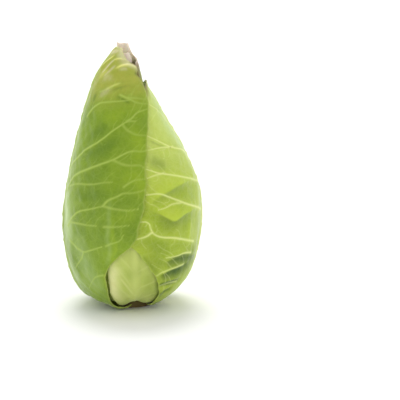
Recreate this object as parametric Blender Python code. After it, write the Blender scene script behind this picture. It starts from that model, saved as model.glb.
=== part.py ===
"""A pointed cabbage, standing on its cut stem: a tight heart wrapped in six large leaves.

Lengths are in millimetres here and are turned into metres when a mesh is made. +Z is up, the origin is
the middle of the stem's cut face, and the front looks along +Y, so an azimuth of 0 degrees points at -Y
and one of 90 degrees at +X. A place on the head is an azimuth and a station v: 0 where the leaves leave
the stem, 1 at the tip, and even steps between them are even lengths along the head's side.
"""

import math

import bmesh
import bpy
import numpy as np

MM = 0.001

# The heart's side, in millimetres and degrees
PROFILE = [
    (17.5, 9.5), (25, 9.3), (35, 12.5), (44.5, 29), (49.5, 62),
    (46.5, 95), (29.8, 141), (11, 180), (6.5, 192), (3, 200), (0, 200),
]  # radius and height of the corners whose cutting gives the side, from stem to tip
LEAN_TOP = -9.5  # how far the tip stands to the left of the stem
LEAN_FROM, LEAN_OVER = 85, 95  # height at which the lean starts, and the height that it takes
LEAN_BELLY = -0.4
BELLY_HEIGHT, BELLY_REACH = 70, 60
TIP_BACK = 4.2  # how far the last of the tip comes back to the right
TIP_BACK_FROM, TIP_BACK_OVER = 180, 20
FOOT_RISE = 7.0  # how much higher the foot's outer part is at the right than at the left
FOOT_RISE_AZIMUTH = 68
FOOT_RISE_REACH, FOOT_RISE_HEIGHT = 20, 45
FOOT_DROPS = [(-22, 18, 3.0), (40, 20, 1.2), (7, 13, -2.9)]  # azimuth, reach and drop of the leaf feet
FOOT_DROP_END = 0.10  # station at which a drop has died away
LUMPS = [(2, 0.010, 0.9), (3, 0.008, 2.3), (5, 0.004, 0.4)]  # waves round, share of the radius, phase

# The heart's own leaves, whose margins wind up to its tip
HEART_TIPS = 3
HEART_TWIST = 75
HEART_MARGIN = 1.3
HEART_STEP = 5.0  # degrees over which a margin rises
HEART_COLUMNS = [0.0, HEART_STEP, 30, 60, 90]
HEART_ROWS = 20
HEART_TOP = 0.985  # station where the side ends and the tip closes
HEART_POINT = 1.2
HEART_SINK = 0.1
SEAT_RADIUS = 17.3  # the shallow seat under the heart, over the stem
SEAT_GAP = 0.4

# The leaves, in millimetres
BLADE = 0.9
GAP = 0.8
VEIN_HEIGHT = 0.55
SETTLE = 9.5  # how far a leaf takes to come down over the edge of one beneath it
THIN_FROM, THIN_BY = 0.75, 0.4  # station past which gaps and veins thin out, and by what share at the tip

# Places across a leaf, as shares of its half width
RIB_TOP, RIB_EDGE = 0.04, 0.085
VEINED_COLUMNS = [0.20, 0.33, 0.46, 0.58, 0.70, 0.80, 0.90, 1.0]
PLAIN_COLUMNS = [0.25, 0.42, 0.57, 0.72, 0.86, 1.0]

# Places along a leaf, as shares of its length
FOOT_ROWS = [0.0, 0.02, 0.042, 0.066]
BEND_ROWS = [0.132, 0.19]  # where the head turns from its foot up its side
TIP_ROWS = [0.965, 1.0]
FIRST_VEIN, LAST_VEIN = 0.095, 0.86
VEIN_HALF_STEP = 0.011
PLAIN_ROWS, PLAIN_CROWD = 18, 1.6  # crowded towards the foot, where the head curves most
ROW_RISE = 1.6  # how fast the margin runs ahead of the midrib, which tilts the side veins upwards
VEIN_BEND = 1.4
TIP_NARROW = 0.985
EDGE_START, EDGE_SHARPNESS = 0.15, 5  # where the waves of an edge begin, and how close to the edge they stay

# The stem, in millimetres
STEM_RADIUS = 16.0
STEM_HEIGHT = 12.8
STEM_SIDES = 28
STEM_BEVEL = 1.2
STEM_RIBS, STEM_RIB_DEPTH = 7, 0.012
STEM_SHARP = 30

# The grid on which the layers' heights are worked out
GRID_ROUND = 360
GRID_ALONG = 220

LEAF_SHARP = 40


def leaf(name, azimuth, foot, tip, left, right, turn=0, rib=2.0, veins=7, free=1.0, flare=0.0, lift=1.5,
         waves=6, tip_round=0.10):
    """One leaf. Its margins list stations and half widths in degrees, measured from its own midrib.

    turn is how far the midrib winds round on its way up, free the station past which the leaf stands clear
    of the head, flare how upright it stands there, lift and waves the height and number of the waves in its
    edge, and tip_round the last stretch, in which its margins close.
    """
    return dict(name=name, azimuth=azimuth, foot=foot, tip=tip, left=left, right=right, turn=turn,
                rib=rib, veins=veins, free=free, flare=flare, lift=lift, waves=waves, tip_round=tip_round)


LEAVES = [
    leaf("leaf_inner_right", 70, 0.04, 0.935, turn=20, rib=1.0, veins=0, lift=1.2, waves=5,
         left=[(0, 34), (0.30, 56), (0.70, 58), (1, 62)],
         right=[(0, 34), (0.30, 66), (0.70, 76), (1, 80)]),
    leaf("leaf_inner_left", -58, 0.04, 0.985, turn=-25, rib=1.0, veins=0, lift=1.2, waves=4, tip_round=0.02,
         left=[(0, 34), (0.30, 66), (0.70, 72), (1, 70)],
         right=[(0, 34), (0.30, 54), (0.70, 62), (0.86, 84), (0.93, 128), (1, 172)]),
    leaf("leaf_back", 182, 0.0, 1.01, turn=-42, free=0.84, flare=0.50, lift=1.6, waves=6, tip_round=0.02,
         left=[(0, 36), (0.30, 66), (0.70, 76), (0.80, 86), (0.87, 82), (0.935, 86), (0.952, 62), (0.960, 8),
               (1.03, 6)],
         right=[(0, 36), (0.30, 68), (0.70, 76), (0.90, 64), (0.955, 46), (1.03, 38)]),
    leaf("leaf_front", 6, 0.01, 0.62, rib=1.6, veins=0, lift=0.3, waves=6,
         left=[(0, 27), (0.12, 26), (0.20, 24), (0.27, 26), (0.50, 46), (0.62, 50)],
         right=[(0, 50), (0.20, 54), (0.40, 56), (0.62, 56)]),
    leaf("leaf_right", 97, 0.0, 0.875, free=0.84, flare=0.50, lift=1.6, waves=6, tip_round=0.03,
         left=[(0, 56), (0.03, 60), (0.06, 62), (0.09, 64), (0.12, 66), (0.155, 69), (0.20, 75),
               (0.25, 83), (0.30, 92.5), (0.36, 106), (0.60, 110), (0.73, 106), (0.79, 62),
               (0.84, 38), (0.875, 34)],
         right=[(0, 44), (0.20, 62), (0.40, 74), (0.70, 72), (0.875, 62)]),
    leaf("leaf_left", -88, 0.0, 1.0, lift=1.4, waves=7, tip_round=0.02,
         left=[(0, 44), (0.20, 66), (0.40, 79), (0.65, 76), (0.88, 46), (0.95, 34), (1, 16)],
         right=[(0, 80), (0.045, 63), (0.10, 65), (0.16, 68), (0.21, 70), (0.245, 74), (0.285, 84),
                (0.325, 93), (0.37, 97), (0.43, 101), (0.50, 103), (0.58, 108), (0.68, 118), (0.76, 129),
                (0.83, 143), (0.87, 141), (0.90, 132), (0.925, 143), (0.943, 140), (0.953, 118),
                (0.965, 104), (1, 84)]),
]  # from the innermost out


def cut_corners(points, times=6):
    """The smooth line that comes of cutting the corners of a polygon again and again, ends kept."""
    line = np.array(points, float)
    for _ in range(times):
        near = 0.75 * line[:-1] + 0.25 * line[1:]
        far = 0.25 * line[:-1] + 0.75 * line[1:]
        line = np.concatenate([line[:1], np.stack([near, far], 1).reshape(-1, 2), line[-1:]])
    return line


SIDE = cut_corners(PROFILE)
SIDE_RUN = np.concatenate([[0], np.cumsum(np.hypot(*np.diff(SIDE, axis=0).T))])
SIDE_LENGTH = SIDE_RUN[-1]


def smooth_step(x):
    x = np.clip(x, 0, 1)
    return x * x * (3 - 2 * x)


def on_head(azimuth, v):
    """Points on the heart's smooth side, at an azimuth in degrees and a station."""
    v = np.clip(v, 0, 1)
    radius = np.interp(v * SIDE_LENGTH, SIDE_RUN, SIDE[:, 0])
    height = np.interp(v * SIDE_LENGTH, SIDE_RUN, SIDE[:, 1])
    turn = np.radians(azimuth)
    for waves, share, phase in LUMPS:
        radius = radius * (1 + share * np.sin(waves * turn + phase) * np.sin(math.pi * v))
    outer = smooth_step((radius - SIDE[0, 0]) / FOOT_RISE_REACH)
    low = 1 - smooth_step(height / FOOT_RISE_HEIGHT)
    height = height + FOOT_RISE * outer * low * (0.5 + 0.5 * np.cos(turn - math.radians(FOOT_RISE_AZIMUTH)))
    near_stem = 1 - smooth_step(v / FOOT_DROP_END)
    for middle, reach, drop in FOOT_DROPS:
        off = (azimuth - middle + 180) % 360 - 180
        height = height - drop * near_stem * np.exp(-((off / reach) ** 2))
    lean = LEAN_TOP * smooth_step((height - LEAN_FROM) / LEAN_OVER)
    lean = lean + LEAN_BELLY * np.exp(-(((height - BELLY_HEIGHT) / BELLY_REACH) ** 2))
    lean = lean + TIP_BACK * smooth_step((height - TIP_BACK_FROM) / TIP_BACK_OVER)
    return np.stack([lean + radius * np.sin(turn), -radius * np.cos(turn), height], -1)


def head_normal(azimuth, v):
    """Outward unit normals there, from differences that stay inside the stations 0 and 1."""
    step_along, step_round = 0.012, 1.5
    v = np.clip(v, step_along, 1 - step_along)
    along = on_head(azimuth, v + step_along) - on_head(azimuth, v - step_along)
    across = on_head(azimuth + step_round, v) - on_head(azimuth - step_round, v)
    normal = np.cross(across, along)
    return normal / np.linalg.norm(normal, axis=-1, keepdims=True)


def in_layer(azimuth, v, height, free=1.0, flare=0.0):
    """Points a height above the side. Past the station free a leaf runs on straight, clear of the head.

    flare turns that straight part from along the side, at 0, to upright, at 1.
    """
    held = np.minimum(v, free)
    step = 0.02
    ahead = np.maximum(held, step)
    along = on_head(azimuth, ahead) - on_head(azimuth, ahead - step)
    straight = along / np.linalg.norm(along, axis=-1, keepdims=True)
    straight = (1 - flare) * straight + flare * np.array([0, 0, 1])
    past = (v - held)[..., None] * SIDE_LENGTH
    return on_head(azimuth, held) + height[..., None] * head_normal(azimuth, held) + past * straight


def half_width(leaf, side, v):
    """Half width in degrees of a leaf's left or right side at a station, closing to nothing at its tip."""
    line = cut_corners(leaf[side], 4)
    width = np.interp(v, line[:, 0], line[:, 1])
    into_tip = np.clip((v - (leaf["tip"] - leaf["tip_round"])) / leaf["tip_round"], 0, 1)
    return width * np.sqrt(1 - into_tip**2)


def leaf_azimuth(leaf, v):
    return leaf["azimuth"] + leaf["turn"] * smooth_step(v)


def thinning(v):
    return 1 - THIN_BY * smooth_step((v - THIN_FROM) / (1 - THIN_FROM))


def edge_lift(leaf, v, t):
    """How far the leaf's waved edge stands off what is beneath it."""
    phase = math.radians(leaf["azimuth"]) + np.sign(t)
    wave = 0.5 + 0.5 * np.sin(leaf["waves"] * 2 * math.pi * v + phase)
    near_edge = np.abs(np.clip(t, -1, 1)) ** EDGE_SHARPNESS
    return leaf["lift"] * wave * near_edge * thinning(v) * smooth_step(v / EDGE_START)


def rib_height(leaf, v, t):
    """How far the midrib stands out of the blade: a low ridge that thins towards the tip."""
    fade = np.clip(1 - v / leaf["tip"], 0, 1) ** 0.8
    return leaf["rib"] * fade * np.clip(1 - (t / RIB_EDGE) ** 2, 0, 1)


def grid_places():
    azimuth = np.arange(GRID_ROUND) * 360 / GRID_ROUND
    v = np.linspace(0, 1, GRID_ALONG)
    return np.meshgrid(azimuth, v)


def drape(ground):
    """The height of a sheet laid over the ground: the highest ground within reach, then evened out."""
    _, v = grid_places()
    radius = np.interp(v * SIDE_LENGTH, SIDE_RUN, SIDE[:, 0])
    reach_round = np.clip(np.degrees(SETTLE / np.maximum(radius, 1)), 0, 50) * GRID_ROUND / 360
    reach_along = int(round(SETTLE / SIDE_LENGTH * GRID_ALONG))
    furthest = int(reach_round.max())
    rows = np.arange(GRID_ALONG)
    for even_out in (False, True):
        total, count, highest = np.zeros_like(ground), np.zeros_like(ground), ground
        for step in range(-furthest, furthest + 1):
            near = abs(step) <= reach_round
            moved = np.roll(ground, step, 1)
            highest = np.where(near, np.maximum(highest, moved), highest)
            total, count = total + near * moved, count + near
        ground = total / count if even_out else highest
        steps = range(-reach_along, reach_along + 1)
        shifted = [ground[np.clip(rows + step, 0, GRID_ALONG - 1)] for step in steps]
        ground = np.mean(shifted, 0) if even_out else np.max(shifted, 0)
    return ground


def read_grid(grid, azimuth, v):
    """A grid's value at any place, evenly between its four nearest points."""
    x = (azimuth % 360) * GRID_ROUND / 360
    y = np.clip(v, 0, 1) * (GRID_ALONG - 1)
    x0, y0 = np.floor(x).astype(int), np.minimum(np.floor(y).astype(int), GRID_ALONG - 2)
    fx, fy = x - x0, y - y0
    x0, x1 = x0 % GRID_ROUND, (x0 + 1) % GRID_ROUND
    low = grid[y0, x0] * (1 - fx) + grid[y0, x1] * fx
    high = grid[y0 + 1, x0] * (1 - fx) + grid[y0 + 1, x1] * fx
    return low * (1 - fy) + high * fy


def stack_layers():
    """The height of each leaf's inner face over the heart, from the innermost leaf out."""
    azimuth, v = grid_places()
    ground = heart_relief(azimuth, v)
    sheets = {}
    for leaf in LEAVES:
        sheet = drape(ground) + GAP * thinning(v)
        off_rib = (azimuth - leaf_azimuth(leaf, v) + 180) % 360 - 180
        width = np.where(off_rib < 0, half_width(leaf, "left", v), half_width(leaf, "right", v))
        covered = (np.abs(off_rib) <= width) & (v >= leaf["foot"]) & (v <= leaf["tip"])
        across = off_rib / np.maximum(width, 1)
        top = sheet + BLADE + rib_height(leaf, v, across) + edge_lift(leaf, v, across)
        if leaf["veins"]:
            top = top + VEIN_HEIGHT * thinning(v)
        ground = np.where(covered, top, ground)
        sheets[leaf["name"]] = sheet
    return sheets


def leaf_rows(leaf):
    """Rows of a leaf from foot to tip, and how far each stands out as a side vein."""
    if not leaf["veins"]:
        rows = np.linspace(0, 1, PLAIN_ROWS) ** PLAIN_CROWD
        return rows, np.zeros_like(rows)
    veins = np.linspace(FIRST_VEIN, LAST_VEIN, leaf["veins"])
    halfway = (veins[1] - veins[0]) / 2
    beside = [veins - VEIN_HALF_STEP, veins, veins + VEIN_HALF_STEP, veins[1:] + halfway]
    rows = np.sort(np.concatenate([FOOT_ROWS, BEND_ROWS, *beside, TIP_ROWS]))
    return rows, np.where(np.isin(rows, veins), VEIN_HEIGHT, 0.0)


def leaf_skins(leaf, sheet):
    """The inner and outer skin of a leaf, as grids of points: rows from foot to tip, columns across."""
    rows, vein = leaf_rows(leaf)
    columns = np.array([0.0, RIB_TOP, RIB_EDGE] + (VEINED_COLUMNS if leaf["veins"] else PLAIN_COLUMNS))
    columns = np.concatenate([-columns[:0:-1], columns])
    s, t = np.meshgrid(rows, columns, indexing="ij")
    foot, tip = leaf["foot"], leaf["tip"]
    at_rib = foot + (tip - foot) * s
    at_margin = foot + (tip - foot) * (1 - (1 - s) ** ROW_RISE)
    v = at_rib + (at_margin - at_rib) * np.abs(t) ** VEIN_BEND
    widest = np.minimum(at_margin, foot + (tip - foot) * TIP_NARROW)
    width = np.where(t < 0, half_width(leaf, "left", widest), half_width(leaf, "right", widest))
    azimuth = leaf_azimuth(leaf, v) + t * width
    beside_rib = np.clip((1.02 - np.abs(t)) * 1.3, 0, 1) * (np.abs(t) > RIB_EDGE)
    inner = read_grid(sheet, azimuth, v) + edge_lift(leaf, v, t)
    outer = inner + BLADE + rib_height(leaf, v, t) + vein[:, None] * beside_rib * thinning(v)
    return [in_layer(azimuth, v, height, leaf["free"], leaf["flare"]) for height in (inner, outer)]


def corners(a, b, c):
    return np.stack([a, b, c], -1).reshape(-1, 3)


def closed_blade(inner, outer):
    """Points and triangles of a thin solid between two skins, split the same way on both."""
    rows, columns = inner.shape[:2]
    index = np.arange(rows * columns).reshape(rows, columns)
    a, b, c, d = index[:-1, :-1], index[:-1, 1:], index[1:, 1:], index[1:, :-1]
    front = np.concatenate([corners(a, b, c), corners(a, c, d)])
    back = front[:, ::-1] + rows * columns
    edge = np.concatenate([index[0, :-1], index[:-1, -1], index[-1, :0:-1], index[:0:-1, 0]])
    after = np.roll(edge, -1)
    edge_under, after_under = edge + rows * columns, after + rows * columns
    rim = np.concatenate([corners(after, edge, edge_under), corners(after, edge_under, after_under)])
    points = np.concatenate([outer.reshape(-1, 3), inner.reshape(-1, 3)])
    return points, np.concatenate([front, back, rim])


def heart_places():
    """Azimuths and stations of the heart's side. Its columns wind up the head, as its margins do."""
    columns = np.arange(HEART_TIPS)[:, None] * 360 / HEART_TIPS + HEART_COLUMNS
    rows = 1 - (1 - np.linspace(0, 1, HEART_ROWS)) ** 0.9
    v, column = np.meshgrid(rows * HEART_TOP, columns.ravel(), indexing="ij")
    return column + HEART_TWIST * v, v


def heart_relief(azimuth, v):
    """The height of the heart's own leaves: each thins from its margin to where the next one covers it."""
    share_round = 360 / HEART_TIPS
    turn = (azimuth - HEART_TWIST * v) % share_round
    fall = 1 - (turn - HEART_STEP) / (share_round - HEART_STEP)
    share = np.where(turn < HEART_STEP, turn / HEART_STEP, fall)
    return HEART_MARGIN * share * smooth_step(v / 0.5) * smooth_step((1 - v) / 0.06)


def build_heart(material):
    """The tight head of inner leaves, one solid, with a shallow seat under it for the top of the stem."""
    azimuth, v = heart_places()
    side = in_layer(azimuth, v, heart_relief(azimuth, v) - HEART_SINK)
    seat_middle = np.array([0, 0, STEM_HEIGHT + SEAT_GAP])
    shrink = SEAT_RADIUS / SIDE[0, 0]
    seat = side[0] * [shrink, shrink, 0] + seat_middle
    rings = np.concatenate([seat[None], side])
    point = side[-1].mean(0) + [0, 0, HEART_POINT]
    points = np.concatenate([rings.reshape(-1, 3), [seat_middle], [point]])
    index = np.arange(len(points) - 2).reshape(rings.shape[:2])
    a, b = index[:-1], np.roll(index[:-1], -1, 1)
    d, c = index[1:], np.roll(index[1:], -1, 1)
    low, high = index[0], index[-1]
    seat_corner, point_corner = np.full_like(low, len(points) - 2), np.full_like(low, len(points) - 1)
    faces = [corners(a, b, c), corners(a, c, d), corners(np.roll(low, -1), low, seat_corner),
             corners(high, np.roll(high, -1), point_corner)]
    return add_object("heart", points, np.concatenate(faces).tolist(), material, LEAF_SHARP)


def build_leaf(leaf, sheet, material):
    points, faces = closed_blade(*leaf_skins(leaf, sheet))
    return add_object(leaf["name"], points, faces.tolist(), material, LEAF_SHARP)


def build_stem(material):
    """The cut stem: a stub with low ribs down it, a flat cut face at its foot and bevelled edges."""
    turn = np.arange(STEM_SIDES) * 2 * math.pi / STEM_SIDES
    waist = STEM_RADIUS * (1 - STEM_RIB_DEPTH * (1 - np.cos(STEM_RIBS * turn)))
    rings = [(0, STEM_BEVEL), (STEM_BEVEL, 0), (STEM_HEIGHT - STEM_BEVEL, 0), (STEM_HEIGHT, STEM_BEVEL)]
    points = [np.stack([(waist - inset) * np.sin(turn), -(waist - inset) * np.cos(turn),
                        np.full_like(turn, height)], -1) for height, inset in rings]
    index = np.arange(len(rings) * STEM_SIDES).reshape(len(rings), STEM_SIDES)
    wall = np.stack([index[:-1], np.roll(index[:-1], -1, 1), np.roll(index[1:], -1, 1), index[1:]], -1)
    faces = wall.reshape(-1, 4).tolist() + [index[0, ::-1].tolist(), index[-1].tolist()]
    return add_object("stem", np.concatenate(points), faces, material, STEM_SHARP)


def add_object(name, points, faces, material, sharp_angle):
    """An object from points in millimetres, smooth except where its faces meet at more than an angle."""
    build = bmesh.new()
    vertices = [build.verts.new(point) for point in (points * MM).tolist()]
    for face in faces:
        build.faces.new([vertices[i] for i in face])
    mesh = bpy.data.meshes.new(name)
    build.to_mesh(mesh)
    build.free()
    mesh.shade_smooth()
    mesh.set_sharp_from_angle(angle=math.radians(sharp_angle))
    mesh.materials.append(material)
    made = bpy.data.objects.new(name, mesh)
    bpy.context.scene.collection.objects.link(made)
    return made


def make_material(name, colour, roughness):
    material = bpy.data.materials.new(name)
    material.use_nodes = True
    shader = material.node_tree.nodes["Principled BSDF"]
    shader.inputs["Base Color"].default_value = (*colour, 1)
    shader.inputs["Roughness"].default_value = roughness
    shader.inputs["Metallic"].default_value = 0
    return material


def main():
    for old in list(bpy.data.objects):
        bpy.data.objects.remove(old)
    dark_green = make_material("leaf_dark_green", (0.19, 0.30, 0.035), 0.42)
    light_green = make_material("leaf_light_green", (0.42, 0.54, 0.13), 0.42)
    pale_green = make_material("leaf_pale_green", (0.50, 0.56, 0.20), 0.45)
    leaf_materials = {
        "leaf_left": dark_green, "leaf_back": dark_green, "leaf_right": light_green,
        "leaf_front": pale_green, "leaf_inner_left": pale_green, "leaf_inner_right": pale_green,
    }
    sheets = stack_layers()
    for leaf in LEAVES:
        build_leaf(leaf, sheets[leaf["name"]], leaf_materials[leaf["name"]])
    build_heart(make_material("heart_yellow_green", (0.56, 0.60, 0.25), 0.45))
    build_stem(make_material("stem_cut", (0.50, 0.42, 0.22), 0.75))


main()
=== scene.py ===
# The looks of a pointed cabbage: fine leaves, veins, dried tips and cut stem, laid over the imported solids.
# Shapes are worked out in millimetres and turned into metres when a mesh is made. A place on the head is an
# azimuth in degrees, 0 at the front and 90 at the right, and a station v, 0 at the stem and 1 at the tip.

import math

import bpy
import mathutils
import numpy as np
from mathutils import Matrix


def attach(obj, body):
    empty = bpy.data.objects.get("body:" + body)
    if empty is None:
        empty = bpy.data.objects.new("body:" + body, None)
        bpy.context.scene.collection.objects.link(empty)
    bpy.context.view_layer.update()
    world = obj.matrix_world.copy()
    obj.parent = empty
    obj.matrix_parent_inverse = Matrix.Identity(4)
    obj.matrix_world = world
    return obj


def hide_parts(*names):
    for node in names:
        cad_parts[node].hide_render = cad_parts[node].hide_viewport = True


mm = 0.001

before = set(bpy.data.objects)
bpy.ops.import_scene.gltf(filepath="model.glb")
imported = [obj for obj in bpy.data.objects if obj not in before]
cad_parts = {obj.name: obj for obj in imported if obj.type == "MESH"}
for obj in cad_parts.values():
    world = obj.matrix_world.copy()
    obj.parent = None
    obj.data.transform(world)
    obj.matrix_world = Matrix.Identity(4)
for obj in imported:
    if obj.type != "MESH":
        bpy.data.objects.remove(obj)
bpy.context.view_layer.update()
print("frame loaded:", len(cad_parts), "solids")


# The head's side, and how it leans

head = {
    # radius and height of the side's corners, from the stem to the tip
    "side": [(17.5, 9.5), (25, 9.3), (35, 12.5), (44.5, 29), (49.5, 62), (46.5, 95), (29.8, 141),
             (11, 180), (6.5, 192), (3, 200), (0, 200)],
    "leanTop": -9.5, "leanFrom": 85, "leanOver": 95,
    "leanBelly": -0.4, "bellyHeight": 70, "bellyReach": 60,
    "tipBack": 4.2, "tipBackFrom": 180, "tipBackOver": 20,
    "footRise": 7.0, "footRiseAzimuth": 68, "footRiseReach": 20, "footRiseHeight": 45,
    "footDropEnd": 0.10,
    "footDrops": [(-22, 18, 3.0), (40, 20, 1.2), (7, 13, -2.9)],  # azimuth, reach and drop of the leaf feet
    "lumps": [(2, 0.010, 0.9), (3, 0.008, 2.3), (5, 0.004, 0.4)],  # waves round, share of the radius, phase
}

# The camera stands where the photograph's did, and its picture carries routes that are seen onto the head
view = {"target": (0.0545, 0.0, 0.084), "distance": 1.2, "elevation": 12.0, "angle": 15.0, "picture": 400}


def cutCorners(points, times=6):
    # the smooth line left when a polygon's corners are cut again and again, its ends kept
    line = np.array(points, float)
    for _ in range(times):
        near = 0.75 * line[:-1] + 0.25 * line[1:]
        far = 0.25 * line[:-1] + 0.75 * line[1:]
        line = np.concatenate([line[:1], np.stack([near, far], 1).reshape(-1, line.shape[1]), line[-1:]])
    return line


side = cutCorners(head["side"])
sideRun = np.concatenate([[0], np.cumsum(np.hypot(*np.diff(side, axis=0).T))])
sideLength = sideRun[-1]


def ease(x):
    # a smooth step: 3x squared less 2x cubed between 0 and 1
    x = np.clip(x, 0, 1)
    return x * x * (3 - 2 * x)


def bell(x):
    return np.exp(-x * x)


def onHead(azimuth, v):
    # radius and height read along the side and turned round by the azimuth, then lumped, raised at the right
    # of the foot, lowered where leaf feet come down, and leaned over
    v = np.clip(v, 0, 1)
    radius = np.interp(v * sideLength, sideRun, side[:, 0])
    height = np.interp(v * sideLength, sideRun, side[:, 1])
    turn = np.radians(azimuth)
    for waves, share, phase in head["lumps"]:
        radius = radius * (1 + share * np.sin(waves * turn + phase) * np.sin(math.pi * v))
    outer = ease((radius - side[0, 0]) / head["footRiseReach"])
    low = 1 - ease(height / head["footRiseHeight"])
    rise = 0.5 + 0.5 * np.cos(turn - math.radians(head["footRiseAzimuth"]))
    height = height + head["footRise"] * outer * low * rise
    for middle, reach, drop in head["footDrops"]:
        off = (azimuth - middle + 180) % 360 - 180
        height = height - drop * (1 - ease(v / head["footDropEnd"])) * bell(off / reach)
    lean = head["leanTop"] * ease((height - head["leanFrom"]) / head["leanOver"])
    lean = lean + head["leanBelly"] * bell((height - head["bellyHeight"]) / head["bellyReach"])
    lean = lean + head["tipBack"] * ease((height - head["tipBackFrom"]) / head["tipBackOver"])
    return np.stack([lean + radius * np.sin(turn), -radius * np.cos(turn), height], -1)


def headNormal(azimuth, v):
    # the cross product of short steps round and up the head
    stepAlong, stepRound = 0.012, 1.5
    v = np.clip(v, stepAlong, 1 - stepAlong)
    along = onHead(azimuth, v + stepAlong) - onHead(azimuth, v - stepAlong)
    across = onHead(azimuth + stepRound, v) - onHead(azimuth - stepRound, v)
    normal = np.cross(across, along)
    return normal / np.linalg.norm(normal, axis=-1, keepdims=True)


def inLayer(leaf, azimuth, v, height):
    # a point a height above the side. Past its free station a leaf runs on straight: along the side with no
    # flare, upright with a flare of 1
    held = np.minimum(v, leaf["free"])
    step = 0.02
    ahead = np.maximum(held, step)
    along = onHead(azimuth, ahead) - onHead(azimuth, ahead - step)
    straight = along / np.linalg.norm(along, axis=-1, keepdims=True)
    straight = (1 - leaf["flare"]) * straight + leaf["flare"] * np.array([0, 0, 1])
    past = (v - held)[..., None] * sideLength
    return onHead(azimuth, held) + height[..., None] * headNormal(azimuth, held) + past * straight


# The leaves, from the innermost out. Margins list stations and half widths in degrees from the midrib

def leafRow(name, azimuth, foot, tip, left, right, lift, seed, turn=0, rib=2.0, veins=7, free=1.0, flare=0.0,
            waves=6, grid=(200, 160), tipRound=0.10, tipDroop=0.0, raised=False):
    return dict(name=name, azimuth=azimuth, foot=foot, tip=tip, left=left, right=right, turn=turn, rib=rib,
                veins=veins, free=free, flare=flare, lift=lift, waves=waves, grid=grid, tipRound=tipRound,
                tipDroop=tipDroop, seed=seed, raised=raised)


leaves = [
    leafRow("leaf_inner_right", 70, 0.04, 0.935, turn=20, rib=1.0, veins=6, lift=1.2, waves=5,
            left=[(0, 34), (0.30, 56), (0.70, 58), (1, 62)],
            right=[(0, 34), (0.30, 66), (0.70, 76), (1, 80)], seed=11),
    leafRow("leaf_inner_left", -58, 0.04, 0.985, turn=-25, rib=1.0, veins=6, lift=1.2, waves=4, tipRound=0.02,
            left=[(0, 34), (0.30, 66), (0.70, 72), (1, 70)],
            right=[(0, 34), (0.30, 54), (0.70, 62), (0.86, 84), (0.93, 128), (1, 172)], seed=12),
    leafRow("leaf_back", 182, 0.0, 1.01, turn=-42, free=0.84, flare=0.50, lift=1.6, tipRound=0.02,
            left=[(0, 36), (0.30, 66), (0.70, 76), (0.80, 86), (0.87, 82), (0.935, 86), (0.952, 62),
                  (0.960, 8), (1.03, 6)],
            right=[(0, 36), (0.30, 68), (0.70, 76), (0.90, 64), (0.955, 46), (1.03, 38)],
            grid=(280, 200), seed=13, raised=True),
    leafRow("leaf_front", 6, 0.01, 0.62, rib=1.6, veins=5, lift=0.3,
            left=[(0, 27), (0.12, 26), (0.20, 24), (0.27, 26), (0.50, 46), (0.62, 50)],
            right=[(0, 50), (0.20, 54), (0.40, 56), (0.62, 56)], seed=14),
    leafRow("leaf_right", 97, 0.0, 0.875, free=0.84, flare=0.50, lift=1.6, tipRound=0.03, tipDroop=0.065,
            left=[(0, 56), (0.03, 60), (0.06, 62), (0.09, 64), (0.12, 66), (0.155, 69), (0.20, 75),
                  (0.25, 83), (0.30, 92.5), (0.36, 106), (0.60, 110), (0.73, 106), (0.79, 62),
                  (0.84, 38), (0.875, 34)],
            right=[(0, 44), (0.20, 62), (0.40, 74), (0.70, 72), (0.875, 62)],
            grid=(320, 240), seed=15, raised=True),
    leafRow("leaf_left", -88, 0.0, 1.0, lift=1.4, waves=7, tipRound=0.02,
            left=[(0, 44), (0.20, 66), (0.40, 79), (0.65, 76), (0.88, 46), (0.95, 34), (1, 16)],
            right=[(0, 80), (0.045, 63), (0.10, 65), (0.16, 68), (0.21, 70), (0.245, 74), (0.285, 84),
                   (0.325, 93), (0.37, 97), (0.43, 101), (0.50, 103), (0.58, 108), (0.68, 118), (0.76, 129),
                   (0.83, 143), (0.87, 141), (0.90, 132), (0.925, 143), (0.943, 140), (0.953, 118),
                   (0.965, 104), (1, 84)],
            grid=(320, 240), seed=16, raised=True),
]

blade = {
    "thick": 0.9, "edgeThick": 0.45, "edgeRound": 1.6,  # mm; the edge thins over its last stretch
    "leastThick": 0.3, "leastRadius": 3,
    "gap": 0.8, "settle": 9.5, "veinAllowance": 0.55,
    "thinFrom": 0.75, "thinBy": 0.4,
    "rowRise": 1.6, "veinBend": 1.4, "tipNarrow": 0.985,
    "tipWave": 0.0015, "tipWaves": 7, "droopAll": 0.15, "tipPower": 8,
    "edgeStart": 0.15, "edgeSharpness": 5, "edgePhase": 6,
    "ragged": [(5, 0.55), (11, 0.4), (23, 0.25), (47, 0.12)],  # waves along the margin, size in degrees
    "raggedStart": 0.1,
    "ribEdge": 0.085, "ribFade": 0.8, "ribSpread": 3.2, "ribLeast": 0.5, "ribRound": 1.5,
    "ribCore": 0.75, "ribCoreEnd": 0.06, "ribPale": 0.95,
    "puckers": [(0.14, 7, 50), (0.20, 34, 90)],  # height, length and an own random seed of the free ones
    "pillow": (0.26, 15), "pillowReach": 5.0, "pillowBase": 0.4,  # those that rise between the veins
    "calm": 0.35, "edgeRelief": 0.25, "rim": 0.9, "haloShare": 0.8,
    "mapEnd": 1.06, "mapSpread": 0.34,
    "coarse": 4,  # the inner skin takes every fourth row and column of the outer one
}
layers = {"round": 360, "along": 220}
heart = {"tips": 3, "twist": 75, "margin": 1.3, "step": 5.0, "rise": 0.5, "fall": 0.06, "top": 0.985,
         "point": 1.2, "sink": 0.1, "seatRadius": 17.3, "seatGap": 0.4, "grid": (120, 180), "free": 1.0,
         "flare": 0.0, "ripple": (0.25, 16, 21), "calmEnds": 0.1}
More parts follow.
